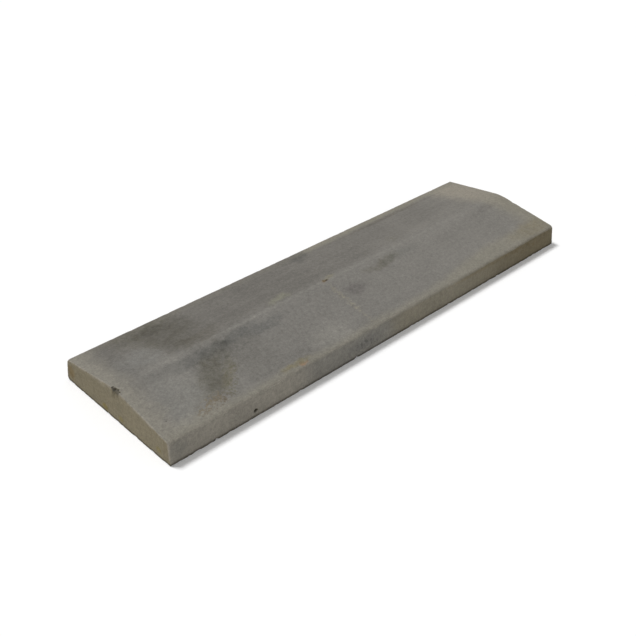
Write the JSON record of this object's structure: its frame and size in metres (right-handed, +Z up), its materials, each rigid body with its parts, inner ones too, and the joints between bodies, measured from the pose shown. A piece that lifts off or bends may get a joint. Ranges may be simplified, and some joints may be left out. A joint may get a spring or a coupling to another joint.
{
  "type": "wall coping stone",
  "caption": "Saddleback wall coping in cast concrete: flat bed, two shallow slopes falling from a rounded crest to leaning long sides, plain ends.",
  "frame": {"origin": "middle of the flat bed face, the underside that lies on the wall", "axes": "+X along the wall, +Y across it, +Z up out of the wall"},
  "size_m": [1, 0.2898, 0.0619],
  "materials": {
    "cast_concrete": "weathered cast concrete, matt"
  },
  "bodies": {
    "root": {"coping_stone": "cast_concrete"}
  },
  "joints": []
}
